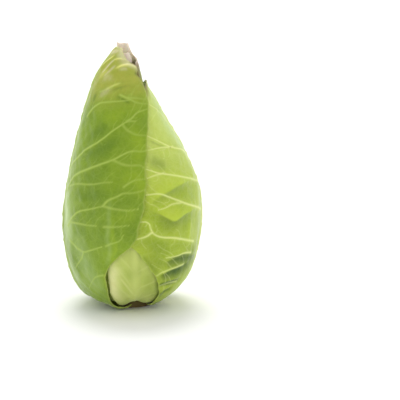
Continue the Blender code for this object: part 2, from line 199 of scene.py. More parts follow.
stem = {
    "radius": 16.0, "height": 12.8, "bevel": 1.2, "ribs": 7, "ribDepth": 0.012,
    "around": 168, "faceRings": 26, "bevelRings": 6, "wallRings": 22, "seed": 31, "roughness": 0.10,
    # how deep the cut face is sunk in mm, and where and how widely, as shares of its radius
    "sunk": [(0.35, 0.42, 0.25), (0.12, 0.82, 0.06)], "faceFrom": 0.04, "faceFlat": 0.95, "middle": 0.1,
    "wallWave": 0.12, "wallWaves": 14, "wallTwist": 5,
}


def halfWidth(leaf, margin, v):
    # the margin's own width, which closes over the tip as the arc of an ellipse
    line = cutCorners(margin, 4)
    width = np.interp(v, line[:, 0], line[:, 1])
    intoTip = np.clip((v - (leaf["tip"] - leaf["tipRound"])) / leaf["tipRound"], 0, 1)
    return width * np.sqrt(1 - intoTip**2)


def leafAzimuth(leaf, v):
    return leaf["azimuth"] + leaf["turn"] * ease(v)


def thinning(v):
    return 1 - blade["thinBy"] * ease((v - blade["thinFrom"]) / (1 - blade["thinFrom"]))


def edgeLift(leaf, v, t):
    # a sine wave along the margin, which dies away inwards as a high power of the share across
    phase = math.radians(leaf["azimuth"]) + np.sign(t)
    wave = 0.5 + 0.5 * np.sin(leaf["waves"] * 2 * math.pi * v + phase)
    nearEdge = np.abs(np.clip(t, -1, 1)) ** blade["edgeSharpness"]
    return leaf["lift"] * wave * nearEdge * thinning(v) * ease(v / blade["edgeStart"])


def ribHeight(leaf, v, t):
    # a parabola across the midrib, lower towards the tip
    fade = np.clip(1 - v / leaf["tip"], 0, 1) ** blade["ribFade"]
    return leaf["rib"] * fade * np.clip(1 - (t / blade["ribEdge"]) ** 2, 0, 1)


def heartRelief(azimuth, v):
    # the heart's own leaves: each rises over its margin and thins to where the next one covers it
    share = 360 / heart["tips"]
    turn = (azimuth - heart["twist"] * v) % share
    fall = 1 - (turn - heart["step"]) / (share - heart["step"])
    rise = np.where(turn < heart["step"], turn / heart["step"], fall)
    return heart["margin"] * rise * ease(v / heart["rise"]) * ease((1 - v) / heart["fall"])


def gridPlaces():
    azimuth = np.arange(layers["round"]) * 360 / layers["round"]
    return np.meshgrid(azimuth, np.linspace(0, 1, layers["along"]))


def drape(ground):
    # the highest ground within reach of each place, then the mean of that within the same reach
    _, v = gridPlaces()
    radius = np.interp(v * sideLength, sideRun, side[:, 0])
    reachRound = np.clip(np.degrees(blade["settle"] / np.maximum(radius, 1)), 0, 50) * layers["round"] / 360
    reachAlong = int(round(blade["settle"] / sideLength * layers["along"]))
    furthest = int(reachRound.max())
    rows = np.arange(layers["along"])
    for evenOut in (False, True):
        total, count, highest = np.zeros_like(ground), np.zeros_like(ground), ground
        for step in range(-furthest, furthest + 1):
            near = abs(step) <= reachRound
            moved = np.roll(ground, step, 1)
            highest = np.where(near, np.maximum(highest, moved), highest)
            total, count = total + near * moved, count + near
        ground = total / count if evenOut else highest
        steps = range(-reachAlong, reachAlong + 1)
        shifted = [ground[np.clip(rows + step, 0, layers["along"] - 1)] for step in steps]
        ground = np.mean(shifted, 0) if evenOut else np.max(shifted, 0)
    return ground


def readGrid(grid, azimuth, v):
    # evenly between the four nearest places
    x = (azimuth % 360) * layers["round"] / 360
    y = np.clip(v, 0, 1) * (layers["along"] - 1)
    x0, y0 = np.floor(x).astype(int), np.minimum(np.floor(y).astype(int), layers["along"] - 2)
    fx, fy = x - x0, y - y0
    x0, x1 = x0 % layers["round"], (x0 + 1) % layers["round"]
    low = grid[y0, x0] * (1 - fx) + grid[y0, x1] * fx
    high = grid[y0 + 1, x0] * (1 - fx) + grid[y0 + 1, x1] * fx
    return low * (1 - fy) + high * fy


def stackLayers():
    # each leaf lies a gap over what is under it, and is then ground for the next
    azimuth, v = gridPlaces()
    ground = heartRelief(azimuth, v)
    sheets = {}
    for leaf in leaves:
        sheet = drape(ground) + blade["gap"] * thinning(v)
        offRib = (azimuth - leafAzimuth(leaf, v) + 180) % 360 - 180
        width = np.where(offRib < 0, halfWidth(leaf, leaf["left"], v), halfWidth(leaf, leaf["right"], v))
        covered = (np.abs(offRib) <= width) & (v >= leaf["foot"]) & (v <= leaf["tip"])
        across = offRib / np.maximum(width, 1)
        top = sheet + blade["thick"] + ribHeight(leaf, v, across) + edgeLift(leaf, v, across)
        top = top + blade["veinAllowance"] * thinning(v) * leaf["raised"]
        ground = np.where(covered, top, ground)
        sheets[leaf["name"]] = sheet
    return sheets


# What is seen in the picture

def cameraAxes():
    tilt = math.radians(view["elevation"])
    back = np.array([0, -math.cos(tilt), math.sin(tilt)])
    up = np.array([0, math.sin(tilt), math.cos(tilt)])
    eye = np.array(view["target"]) / mm + view["distance"] / mm * back
    return eye, back, up


def inPicture(points):
    # picture column and row of points in millimetres: their offset over their depth, times the focal length
    eye, back, up = cameraAxes()
    focal = view["picture"] / 2 / math.tan(math.radians(view["angle"] / 2))
    offset = points - eye
    depth = -(offset @ back)
    half = view["picture"] / 2
    return np.stack([half + focal * offset[..., 0] / depth, half - focal * (offset @ up) / depth], -1)


def gridNormals(points):
    along, across = np.gradient(points, axis=0), np.gradient(points, axis=1)
    normal = np.cross(across, along)
    return normal / np.maximum(np.linalg.norm(normal, axis=-1, keepdims=True), 1e-9)


class Skin:
    # a leaf's outer skin before its veins are raised: points by rows from foot to tip and columns across
    def __init__(self, points):
        self.points = points
        self.normals = gridNormals(points)
        eye = cameraAxes()[0]
        facing = ((eye - points) * self.normals).sum(-1) > 0
        self.picture = np.where(facing[..., None], inPicture(points), 1e6)

    def find(self, pixels):
        # the row and column of the facing point nearest to each pixel
        pixels = np.array(pixels, float)
        flat = self.picture.reshape(-1, 2)
        nearest = [int(((flat - pixel) ** 2).sum(1).argmin()) for pixel in pixels]
        return np.stack(np.unravel_index(nearest, self.picture.shape[:2]), -1).astype(float)

    def at(self, places):
        # points at rows and columns that needn't be whole numbers
        rows, columns = self.points.shape[:2]
        r = np.clip(places[:, 0], 0, rows - 1.001)
        c = np.clip(places[:, 1], 0, columns - 1.001)
        r0, c0 = r.astype(int), c.astype(int)
        fr, fc = (r - r0)[:, None], (c - c0)[:, None]
        p = self.points
        low = p[r0, c0] * (1 - fc) + p[r0, c0 + 1] * fc
        high = p[r0 + 1, c0] * (1 - fc) + p[r0 + 1, c0 + 1] * fc
        return low * (1 - fr) + high * fr


# Veins

veins = {
    "start": 0.075, "end": 0.86, "shift": 0.012, "reach": (0.82, 0.95), "steps": 16,
    "bend": 1.25, "rise": 0.16, "riseSpread": (0.75, 1.2), "wobble": 0.006, "wobbleWaves": (9, 14),
    "width": (1.10, 0.35), "height": (0.42, 0.10),  # half width and height in mm at a side vein's two ends
    "forks": 2, "forkPlace": (0.28, 0.72), "forkLength": (0.25, 0.45), "forkTilt": (0.10, 0.20),
    "forkBend": 0.85, "forkSteps": 10, "forkSize": 0.62,
    "field": 12.0, "branchField": 4.0, "foot": 1.15, "haloReach": 2.6,
}
branches = {
    "every": 9.0, "shift": 2, "ahead": 3, "length": (6.0, 13.0), "steps": 8, "leastPace": 0.2,
    "leave": 68, "curveBack": 28, "wiggle": 0.35, "wiggles": 7,
    "width": (0.42, 0.22), "height": (0.22, 0.05), "strength": 0.34,
}


def taper(route, width, height):
    # half width and height along a route, from its first to its last value
    share = np.linspace(0, 1, len(route))
    return width[0] + (width[1] - width[0]) * share, height[0] + (height[1] - height[0]) * share


def sideVeins(leaf, skin, which, random):
    # each side vein leaves the midrib, bends up as a power of the share across, and forks twice on its way
    rows, columns = skin.points.shape[:2]
    middle = (columns - 1) / 2
    made = []
    for start in np.linspace(veins["start"], veins["end"], leaf["veins"] + 2):
        start = start + random.uniform(-veins["shift"], veins["shift"])
        reach = random.uniform(*veins["reach"])
        rise = veins["rise"] * random.uniform(*veins["riseSpread"])
        share = np.linspace(0.0, reach, veins["steps"])
        waves, phase = random.uniform(*veins["wobbleWaves"]), random.uniform(0, 6)
        wobble = veins["wobble"] * np.sin(share * waves + phase)
        up = start + rise * share ** veins["bend"] + wobble * share
        made.append((np.stack([up * (rows - 1), middle + which * share * middle], -1), 1.0))
        for fork in random.uniform(*veins["forkPlace"], veins["forks"]):
            tilt = random.choice([-1, 1]) * random.uniform(*veins["forkTilt"])
            end = min(reach, fork + random.uniform(*veins["forkLength"]))
            branch = np.linspace(fork, end, veins["forkSteps"])
            path = np.interp(fork, share, up) + rise * (branch ** veins["bend"] - fork ** veins["bend"])
            path = path + tilt * (branch - fork) ** veins["forkBend"]
            place = np.stack([path * (rows - 1), middle + which * branch * middle], -1)
            made.append((place, veins["forkSize"]))
    return made


def smallBranches(skin, route, random):
    # short veins that leave a longer one at a wide angle, each curving back towards it
    places = route[0]
    points = skin.at(places)
    run = np.concatenate([[0], np.cumsum(np.linalg.norm(np.diff(points, axis=0), axis=1))])
    made = []
    for at in np.arange(random.uniform(branches["shift"], branches["every"]), run[-1], branches["every"]):
        at = at + random.uniform(-branches["shift"], branches["shift"])
        base = np.array([np.interp(at, run, places[:, k]) for k in (0, 1)])
        ahead = np.array([np.interp(at + branches["ahead"], run, places[:, k]) for k in (0, 1)])
        if np.allclose(base, ahead):
            continue
        hand = random.choice([-1, 1])
        pace = np.linalg.norm(skin.at(ahead[None]) - skin.at(base[None])) / np.linalg.norm(ahead - base)
        heading = (ahead - base) / np.linalg.norm(ahead - base)
        length = random.uniform(*branches["length"]) / max(pace, branches["leastPace"])
        steps = np.linspace(0, 1, branches["steps"])
        wiggle = branches["wiggle"] * np.sin(branches["wiggles"] * steps + at)
        leave, back = math.radians(branches["leave"]), math.radians(branches["curveBack"])
        angle = hand * (leave - back * steps + wiggle)
        turned = np.stack([heading[0] * np.cos(angle) - heading[1] * np.sin(angle),
                           heading[0] * np.sin(angle) + heading[1] * np.cos(angle)], -1)
        path = base + np.concatenate([[[0, 0]], np.cumsum(turned[:-1] * length / (branches["steps"] - 1), 0)])
        made.append((path, 0.0))
    return made


def veinField(skin, routes):
    # for every point: the nearest vein's distance, and how strongly and how high the veins stand there.
    # A vein's cross section is a bell, of its own half width
    rows, columns = skin.points.shape[:2]
    count = rows * columns
    colour, relief, halo = np.zeros(count), np.zeros(count), np.zeros(count)
    nearest = np.full(count, veins["field"])
    for places, size in routes:
        if size > 0:
            width = [w * (0.55 + 0.45 * size) for w in veins["width"]]
            width, height = taper(places, width, [h * size for h in veins["height"]])
            strength = 0.5 + 0.5 * size
        else:
            width, height = taper(places, branches["width"], branches["height"])
            strength = branches["strength"]
        line = skin.at(places)
        near, gap, place, _ = beside(skin, line, veins["field"] if size > 0 else veins["branchField"])
        stretch = np.linspace(0, 1, len(line))
        halfWide, high = np.interp(place, stretch, width), np.interp(place, stretch, height)
        colour[near] = np.maximum(colour[near], strength * bell(gap / halfWide))
        relief[near] = np.maximum(relief[near], high * bell(gap / (halfWide * veins["foot"])))
        halo[near] = np.maximum(halo[near], strength * bell(gap / (halfWide + veins["haloReach"])))
        if size > 0:
            nearest[near] = np.minimum(nearest[near], gap)
    shape = (rows, columns)
    return tuple(a.reshape(shape) for a in (colour, relief, halo, nearest))


def ripples(points, length, seed, count=10):
    # a smooth random field from about -1 to 1: sine waves of about one length in seeded directions
    random = np.random.default_rng(seed)
    total = np.zeros(points.shape[:-1])
    for _ in range(count):
        direction = random.normal(size=3)
        direction = direction / np.linalg.norm(direction) / (length * random.uniform(0.75, 1.35))
        total = total + np.sin(2 * math.pi * points @ direction + random.uniform(0, 2 * math.pi))
    return total / math.sqrt(count / 2) / 1.6


def beside(skin, line, limit):
    # the points within a limit of a line, their distance from it, the share of its length where they meet it,
    # and on which side they lie: 1 above a line that runs to the right as seen from outside, -1 below it
    flat = skin.points.reshape(-1, 3)
    start, along = line[:-1], np.diff(line, axis=0)
    near = np.flatnonzero(((flat > line.min(0) - limit) & (flat < line.max(0) + limit)).all(1))
    point = flat[near][:, None]
    share = ((point - start) * along).sum(-1) / np.maximum((along**2).sum(-1), 1e-9)
    share = np.clip(share, 0, 1)
    gap = np.linalg.norm(point - start - share[..., None] * along, axis=-1)
    pick = gap.argmin(1)
    order = np.arange(len(near))
    turn = np.cross(along[pick], flat[near] - start[pick])
    hand = np.sign((turn * skin.normals.reshape(-1, 3)[near]).sum(-1))
    return near, gap[order, pick], (pick + share[order, pick]) / len(along), hand


strokes = {"smooth": 2, "field": 4, "ends": (0.04, 0.96), "crest": 0.4, "steepSide": 0.3, "markEdge": 0.5}


def stroke(skin, pixels, strength, reach, onSide, folded):
    # a fold falls away from its crest as an exponential of the distance, a mark as a bell. With a side of
    # 1 or -1 it lies above or below the line alone: a fold drops steeply beyond it, a mark ends there
    line = skin.at(cutCorners(skin.find(pixels), strokes["smooth"]))
    near, gap, place, hand = beside(skin, line, strokes["field"] * reach)
    fade = np.sin(math.pi * np.clip(place, *strokes["ends"])) ** 0.5
    other = hand * onSide < 0
    if folded:
        rounded = np.sqrt(gap**2 + strokes["crest"] ** 2) - strokes["crest"]
        fall = np.exp(-rounded / np.where(other, strokes["steepSide"] * reach, reach))
    else:
        fall = bell(gap / np.where(other, strokes["markEdge"], reach))
    made = np.zeros(skin.points.shape[:2])
    made.flat[near] = strength * fade * fall
    return made


# Routes seen in the photograph, as picture columns and rows, each with its size: 1 for a vein from the
# midrib, less for a fork. They run from the midrib outwards
seenVeins = {
    "leaf_left": [
        (1.0, [(70, 170), (73, 163), (80, 155), (86, 149), (95, 144), (104, 138.5), (113, 131), (120, 126),
               (127, 121.5), (136, 121)]),
        (0.7, [(127, 121.5), (132, 118), (137, 112), (147, 109)]),
        (0.55, [(122, 125), (126, 130), (131, 133), (137, 135.5), (148, 135)]),
        (1.0, [(68, 190), (72, 180), (77, 173.5), (90, 168), (103, 163.5), (113, 160), (125, 153), (133, 151),
               (142, 151.5), (148, 150)]),
        (0.65, [(113, 160), (122, 164), (129, 166), (141, 165), (149, 170)]),
        (0.6, [(70, 186), (77, 183), (92, 184.5), (104, 183), (112, 182)]),
        (0.55, [(124, 187), (133, 180), (147, 179)]),
        (1.0, [(68, 226), (71, 220), (74, 215), (79, 211), (90, 209), (103.5, 206)]),
        (0.8, [(103.5, 206), (107, 201), (112, 198.5), (119, 196), (123, 193.5), (133, 193.5), (147, 190)]),
        (0.7, [(103.5, 206), (112, 209), (120, 210), (128, 210.5), (138, 209)]),
        (0.7, [(70, 222), (80, 223.5), (88, 225.5), (96, 226)]),
        (0.6, [(104, 227), (112, 227.5), (120, 226.5), (129, 225.5)]),
        (0.5, [(106, 246), (111, 244), (120, 241), (123, 235)]),
        (0.9, [(70, 240), (76, 247), (83.5, 253), (90, 251), (102, 247)]),
        (0.6, [(83.5, 253), (81, 260), (76, 267)]),
        (0.5, [(104, 275), (97, 276), (93, 281), (89, 288)]),
        (0.9, [(88, 116), (92, 109), (97, 105), (102, 102.5), (112, 101.5), (122, 101), (130, 100)]),
        (0.7, [(120, 95), (126, 98), (130, 99.5), (137, 103), (148, 104)]),
        (0.4, [(128, 98), (136, 98), (146, 100)]),
        (0.4, [(100, 92), (108, 89), (114, 86), (120, 83)]),
    ],
    "leaf_right": [
        (1.0, [(196, 166), (190, 156), (183, 150), (176, 148), (169, 146), (158, 141), (147, 136)]),
        (0.6, [(173, 146.5), (165, 147), (158, 148), (148, 150)]),
        (0.5, [(175, 131), (168, 124), (160, 112), (154, 107.5), (146, 103)]),
        (0.9, [(198, 181), (194, 179), (180, 176.5), (167, 174.5), (158, 173.5), (146, 169)]),
        (0.55, [(163, 173.5), (155, 175), (147, 179)]),
        (1.0, [(200, 209), (197, 207), (185, 204), (175, 199.5), (166, 196), (158, 193.5), (146, 195)]),
        (0.5, [(181, 202.5), (172, 204), (166, 208), (158, 210)]),
        (0.9, [(193, 241), (181, 239), (172, 237), (160, 237), (152, 233), (149, 222), (141, 222)]),
        (0.8, [(152, 233), (145, 237), (134, 239.5)]),
        (0.8, [(190, 252), (183, 252), (178, 255.5), (166, 257.5)]),
        (0.6, [(183, 264), (172, 268), (161, 272), (154, 277)]),
        (0.5, [(176, 281), (166, 283), (156, 287)]),
    ],
}

# Folds and marks seen there: the kind, the fold's height in mm or the mark's strength, the reach in mm,
# the side it lies on (1 above, -1 below, 0 both) and the route
seenStrokes = {
    "leaf_left": [
        ("fold", 0.2, 2.6, 0, [(110, 203), (108.5, 225), (107.5, 245), (106.5, 264)]),
        ("fold", 0.7, 1.2, 0, [(101, 68), (107, 62), (114, 56.5)]),
        ("fold", 0.6, 1.2, 0, [(102, 74), (108, 67.5), (114, 61)]),
        ("fold", 0.5, 1.1, 0, [(106, 78), (112, 72), (118, 68)]),
        ("fold", 1.1, 1.3, -1, [(116.5, 68.5), (120.5, 66.5), (125, 65), (130, 65), (136, 68)]),
        ("fold", 0.5, 1.0, 0, [(114, 60.5), (120, 59), (126, 60)]),
        ("fold", 0.4, 1.6, 0, [(104, 88), (112, 86), (120, 83)]),
        ("fold", 0.5, 2.0, 1, [(118, 96), (124, 99), (130, 102.5)]),
        # The pale strokes on the fold crests are the creases' own paler green with a painted highlight on
        # top.
        ("pale", 0.9, 1.1, 0, [(116.5, 68), (120.5, 66), (125, 64.5), (130, 64.6), (136, 67.5)]),
        ("pale", 0.8, 0.9, 0, [(101, 67), (107, 61.5), (114, 56)]),
        ("pale", 0.6, 0.9, 0, [(114, 60), (120, 58.5), (126, 59.5)]),
        ("pale", 0.5, 0.9, 0, [(106, 89), (113, 86), (120, 83)]),
        ("pale", 0.35, 2.0, 0, [(100, 78), (103, 74), (107, 70)]),
        # A faint painted highlight along the low fold, in the bluish colour.
        ("cool", 0.16, 1.8, 0, [(110, 203), (108.5, 225), (107.5, 245), (106.5, 264)]),
        ("light", 0.40, 5.0, 1, [(134, 262), (120, 262), (112, 258), (113, 236), (114, 216)]),
        ("dry", 0.36, 1.1, 0, [(102.5, 72), (108, 66), (114, 60)]),
        ("dry", 0.28, 1.0, 0, [(104, 76), (110, 70), (115, 66)]),
        ("dry", 0.22, 1.3, 0, [(120, 69.8), (124, 69), (127, 69)]),
        ("dry", 0.16, 2.4, 0, [(103, 80), (108, 76), (112, 79)]),
        ("dry", 0.18, 2.4, 0, [(100, 96), (105, 92), (110, 90)]),
        ("brown", 0.8, 0.5, 0, [(130, 62.4), (133, 63.6), (136, 65)]),
        ("brown", 0.45, 1.8, 0, [(139, 66), (141, 74), (143.5, 82), (144.5, 88)]),
        ("dry", 0.40, 2.2, 0, [(111, 53), (115, 50), (120, 49.5)]),
        # Dark strokes: painted shade just below the crest, below the folds and under the raised vein; the
        # broad ones after them darken the green between the veins.
        ("dark", 0.8, 0.9, 0, [(136, 72.5), (136.8, 74.5)]),
        ("dark", 0.5, 1.8, 0, [(96, 94), (94.5, 98), (94, 101)]),
        ("dark", 0.5, 1.4, -1, [(117, 96.5), (124, 99.5), (130, 103)]),
        ("dark", 0.35, 2.0, -1, [(112, 90), (120, 87), (128, 85)]),
        ("dark", 0.4, 5.0, 0, [(88, 140), (98, 132), (108, 124)]),
        ("dark", 0.4, 5.0, 0, [(84, 158), (96, 152), (108, 146), (118, 140)]),
        ("dark", 0.3, 5.0, 0, [(78, 196), (90, 196), (102, 194)]),
        ("light", 0.45, 6.0, 0, [(134, 132), (140, 144), (140, 160)]),
        ("light", 0.45, 6.0, 0, [(122, 182), (134, 176), (142, 184), (140, 200)]),
        ("light", 0.35, 5.0, 0, [(116, 218), (126, 218), (134, 212)]),
        ("light", 0.45, 6.0, 0, [(102, 118), (110, 118), (118, 114), (124, 108)]),
        # Bluish strokes along the left silhouette: the waxy bloom, with a painted reflection of the white
        # room at the grazing edge.
        ("cool", 0.35, 9.0, 0, [(88, 88), (84, 104), (80, 124), (76, 146)]),
        ("cool", 0.25, 9.0, 0, [(74, 232), (80, 256), (90, 276), (100, 292)]),
        ("cool", 0.40, 6.0, 0, [(70, 260), (76, 276), (86, 288)]),
        ("cool", 0.75, 9.0, 0, [(67, 184), (66.5, 204), (67, 222), (69, 242)]),
        ("cool", 0.35, 8.0, 0, [(76, 144), (71, 164), (68, 186)]),
    ],
    "leaf_right": [
        ("fold", 1.7, 6.0, 1, [(156, 199), (162, 195), (167, 192), (175, 187), (183, 183), (193, 176)]),
        ("fold", 1.9, 8.0, 1, [(160, 213), (167, 218), (173, 222), (179, 217.5), (188, 211), (198, 205)]),
        ("fold", 1.2, 5.0, 1, [(158, 259), (166, 257.5), (177, 254.5), (183, 251.5), (191, 252)]),
        ("fold", 1.1, 3.6, 1, [(154, 277), (160, 273), (170, 268.5), (182, 264)]),
        ("fold", 1.2, 2.8, 1, [(152, 287), (160, 283), (170, 280), (178, 277)]),
        ("fold", 0.8, 2.4, 1, [(153, 295), (162, 290), (170, 286)]),
        ("fold", 0.8, 5.0, 1, [(152, 233), (160, 237), (172, 237), (181, 239)]),
        ("fold", 0.8, 3.5, 0, [(190, 222), (189, 232), (187, 244)]),
        ("fold", 0.6, 5.0, -1, [(152, 142), (158, 145), (166, 148)]),
        # Pale strokes on the upper faces of the folds and on the lower crests: painted light where the folds
        # turn up to the lamp.
        ("pale", 0.45, 7.0, 1, [(156, 199), (162, 195), (167, 192), (175, 187), (183, 183), (193, 176)]),
        ("pale", 0.60, 6.0, 1, [(160, 213), (166, 217), (173, 222), (179, 217.5), (188, 211), (198, 205)]),
        ("pale", 0.35, 3.0, 0, [(190, 222), (189, 232), (188, 242)]),
        ("pale", 0.35, 1.0, 0, [(160, 274), (170, 268.7), (182, 264.7)]),
        # Dark strokes below the folds and over the lower part of the leaf: painted shade.
        ("dark", 0.40, 5.0, -1, [(156, 199), (162, 195), (167, 192), (175, 187), (183, 183)]),
        ("dark", 0.55, 8.0, -1, [(158, 214), (166, 218.5), (173, 222), (179, 217.5), (188, 211.5)]),
        ("dark", 0.30, 9.0, 0, [(144, 236), (150, 246), (158, 250), (170, 248)]),
        ("dark", 0.30, 9.0, 0, [(146, 252), (154, 262), (164, 268)]),
        ("dark", 0.90, 7.0, -1, [(166, 262), (176, 258), (186, 256), (196, 254)]),
        ("dark", 0.60, 6.0, 0, [(176, 274), (184, 268), (192, 258)]),
        # Bluish strokes along the right silhouette: the waxy bloom, with a painted reflection at the grazing
        # edge.
        ("cool", 0.60, 8.0, 0, [(150, 92), (161, 112), (172, 132), (184, 150), (192, 166)]),
        ("cool", 0.40, 5.0, 0, [(198, 184), (200, 200), (200, 216), (198, 234)]),
        # Darker green between the veins, then painted shade under the raised vein and over the lower right,
        # its creases and its foot.
        ("dark", 0.40, 5.0, 0, [(150, 160), (158, 164), (166, 166)]),
        ("dark", 0.30, 1.6, -1, [(150, 141), (157, 144), (164, 146)]),
        ("dark", 0.45, 4.0, 0, [(142, 256), (150, 266), (158, 274)]),
        ("dark", 0.80, 5.0, -1, [(170, 258), (178, 256.5), (184, 254), (195, 254)]),
        ("dark", 1.00, 8.0, -1, [(160, 276), (170, 271), (182, 266), (190, 260)]),
        ("dark", 0.60, 8.0, 0, [(166, 272), (176, 268), (186, 262), (194, 252)]),
        ("dark", 1.00, 3.0, 0, [(158, 285), (164, 283), (171, 282), (179, 279)]),
        ("dark", 0.80, 3.0, 0, [(154, 296), (162, 292), (171, 288)]),
        ("brown", 0.6, 0.6, 0, [(170, 147), (170.6, 148.4)]),
        ("brown", 0.9, 2.5, 0, [(141, 76), (142.5, 80), (144, 88), (146, 92)]),
    ],
    "leaf_front": [
        ("dry", 0.12, 3.5, 0, [(113, 266), (113, 276), (114, 288), (118, 300)]),
        ("pale", 1.00, 6.0, 0, [(112, 266), (112, 278), (113, 290), (119, 301)]),
        # Painted shade down the right side of the base.
        ("dark", 0.40, 6.0, 0, [(146, 274), (150, 284), (148, 296)]),
        ("pale", 0.50, 1.0, 0, [(112, 268), (122, 280), (136, 294)]),
        ("pale", 0.40, 0.8, 0, [(111, 278), (120, 288), (130, 296)]),
        ("pale", 0.50, 1.2, 0, [(109.5, 268), (108.8, 274), (109.5, 284), (112, 294), (117, 303)]),
        ("dark", 0.30, 5.0, 0, [(126, 276), (136, 272), (142, 270)]),
        # Painted shade at the base's right edge, under the leaf that lies over it.
        ("dark", 0.60, 4.0, 0, [(156, 282), (157, 290), (152, 297)]),
        ("fold", 0.5, 2.0, 0, [(112, 268), (122, 280), (136, 294)]),
        ("fold", 0.4, 1.5, 0, [(111, 278), (120, 288), (130, 296)]),
    ],
}


def leafRoutes(leaf, skin, random):
    # veins seen in the picture for the front halves, ruled ones elsewhere, and short branches on all of them
    name = leaf["name"]
    seen = seenVeins.get(name, [])
    routes = [(cutCorners(skin.find(pixels), strokes["smooth"]), size) for size, pixels in seen]
    hidden = {"leaf_left": (-1,), "leaf_right": (1,)}.get(name, (-1, 1))
    for which in hidden:
        routes += sideVeins(leaf, skin, which, random)
    return routes + [branch for route in routes for branch in smallBranches(skin, route, random)]


def buildLeaf(leaf, sheet):
    # rows run from foot to tip and lean forward towards the margin; columns run from margin to margin.
    # The outer skin stands off the inner one by the blade's thickness, the midrib, the veins and the puckers
    rowCount, columnCount = leaf["grid"]
    random = np.random.default_rng(leaf["seed"])
    s, t = np.meshgrid(np.linspace(0, 1, rowCount + 1), np.linspace(-1, 1, columnCount + 1), indexing="ij")
    foot, tip = leaf["foot"], leaf["tip"]
    atRib = foot + (tip - foot) * s
    atMargin = foot + (tip - foot) * (1 - (1 - s) ** blade["rowRise"])
    v = atRib + (atMargin - atRib) * np.abs(t) ** blade["veinBend"]
    droop = leaf["tipDroop"] * (blade["droopAll"] + np.clip(t, 0, 1) ** 2)
    tipWave = blade["tipWave"] * np.sin(blade["tipWaves"] * t + leaf["seed"]) - droop
    v = v + tipWave * s ** blade["tipPower"]
    widest = np.minimum(atMargin, foot + (tip - foot) * blade["tipNarrow"])
    width = np.where(t < 0, halfWidth(leaf, leaf["left"], widest), halfWidth(leaf, leaf["right"], widest))
    phase = random.uniform(0, blade["edgePhase"], len(blade["ragged"])) + np.sign(t)[..., None]
    ragged = sum(size * np.sin(waves * 2 * math.pi * atMargin + phase[..., k])
                 for k, (waves, size) in enumerate(blade["ragged"]))
    azimuth = leafAzimuth(leaf, v) + t * (width + ragged * ease(s / blade["raggedStart"]))
    radius = np.maximum(np.interp(v * sideLength, sideRun, side[:, 0]), blade["leastRadius"])
    across = np.abs(t) * np.radians(width) * radius
    toMargin = np.radians(width) * radius - across
    toMargin = np.minimum(toMargin, (1 - s) * (tip - foot) * sideLength)

    lift = readGrid(sheet, azimuth, v) + edgeLift(leaf, v, t)
    skin = Skin(inLayer(leaf, azimuth, v, lift + blade["thick"]))
    routes = leafRoutes(leaf, skin, random)
    colour, relief, halo, nearest = veinField(skin, routes)
    marks = {kind: np.zeros_like(lift) for kind in ("fold", "pale", "light", "dark", "cool", "dry", "brown")}
    for kind, strength, reach, onSide, pixels in seenStrokes.get(leaf["name"], []):
        made = stroke(skin, pixels, strength, reach, onSide, kind == "fold")
        marks[kind] = np.maximum(marks[kind], made)
    folds = marks.pop("fold")
    for kind, share in driedParts(leaf, v, t, toMargin).items():
        marks[kind] = np.maximum(marks[kind], share)

    fade = np.clip(1 - v / tip, 0, 1)
    narrowing = fade ** blade["ribFade"]
    ribWide = leaf["rib"] * (blade["ribSpread"] * narrowing + blade["ribLeast"])
    rib = leaf["rib"] * narrowing * np.clip(1 - (across / ribWide) ** 2, 0, 1) ** blade["ribRound"]
    ribCore = bell(across / (ribWide * blade["ribCore"])) * ease(fade / blade["ribCoreEnd"])
    edge = ease(toMargin / blade["edgeRound"])
    thick = blade["edgeThick"] + (blade["thick"] - blade["edgeThick"]) * edge
    calm = thinning(v) * (1.0 if leaf["raised"] else blade["calm"])
    height, length = blade["pillow"]
    between = 1 - bell(nearest / blade["pillowReach"])
    pucker = height * between * (blade["pillowBase"] + ripples(skin.points, length, leaf["seed"]))
    for height, length, own in blade["puckers"]:
        pucker = pucker + height * ripples(skin.points, length, leaf["seed"] + own)
    relief = relief * calm * (blade["edgeRelief"] + (1 - blade["edgeRelief"]) * edge)
    relief = relief + np.maximum(calm * edge * pucker, blade["leastThick"] - thick)
    every = slice(None, None, blade["coarse"])
    inner = inLayer(leaf, azimuth, v, lift + folds)[every, every]
    outer = inLayer(leaf, azimuth, v, lift + folds + thick + rib + relief)

    points, quads, triangles = stitchSkins(outer, inner)
    depth = (blade["mapEnd"] - v) * sideLength
    spread = blade["mapSpread"] * np.radians(azimuth - leaf["azimuth"])  # flattened as a cone's side is
    flat = np.stack([depth * np.sin(spread), depth * np.cos(spread)], -1) * mm
    fields = {"vein": np.maximum(colour, ribCore * blade["ribPale"]),
              "halo": np.maximum(halo * blade["haloShare"], ribCore),
              "rim": bell(toMargin / blade["rim"]), "up": v, **marks}
    for key, field in fields.items():
        fields[key] = np.concatenate([field.ravel(), field[every, every].ravel()])
    flat = np.concatenate([flat.reshape(-1, 2), flat[every, every].reshape(-1, 2)])
    return addMesh(leaf["name"] + "_blade", points, quads, triangles, flat, fields)


dried = {
    # stations where drying or browning starts, and over how much it grows
    "backTip": (0.91, 0.03), "backBrown": (0.82, 0.05), "backBrownEnd": (0.93, 0.03),
    "innerTip": (0.90, 0.03), "leftTip": (0.90, 0.04), "rightTip": (0.78, 0.04),
    # how strong it is, and its reach from the margin in mm
    "innerDry": 0.9, "innerBrown": 0.30, "leftDry": 0.35, "edgeBrown": 0.8,
    "backReach": 4.0, "leftReach": 1.6, "rightReach": 2.0,
}


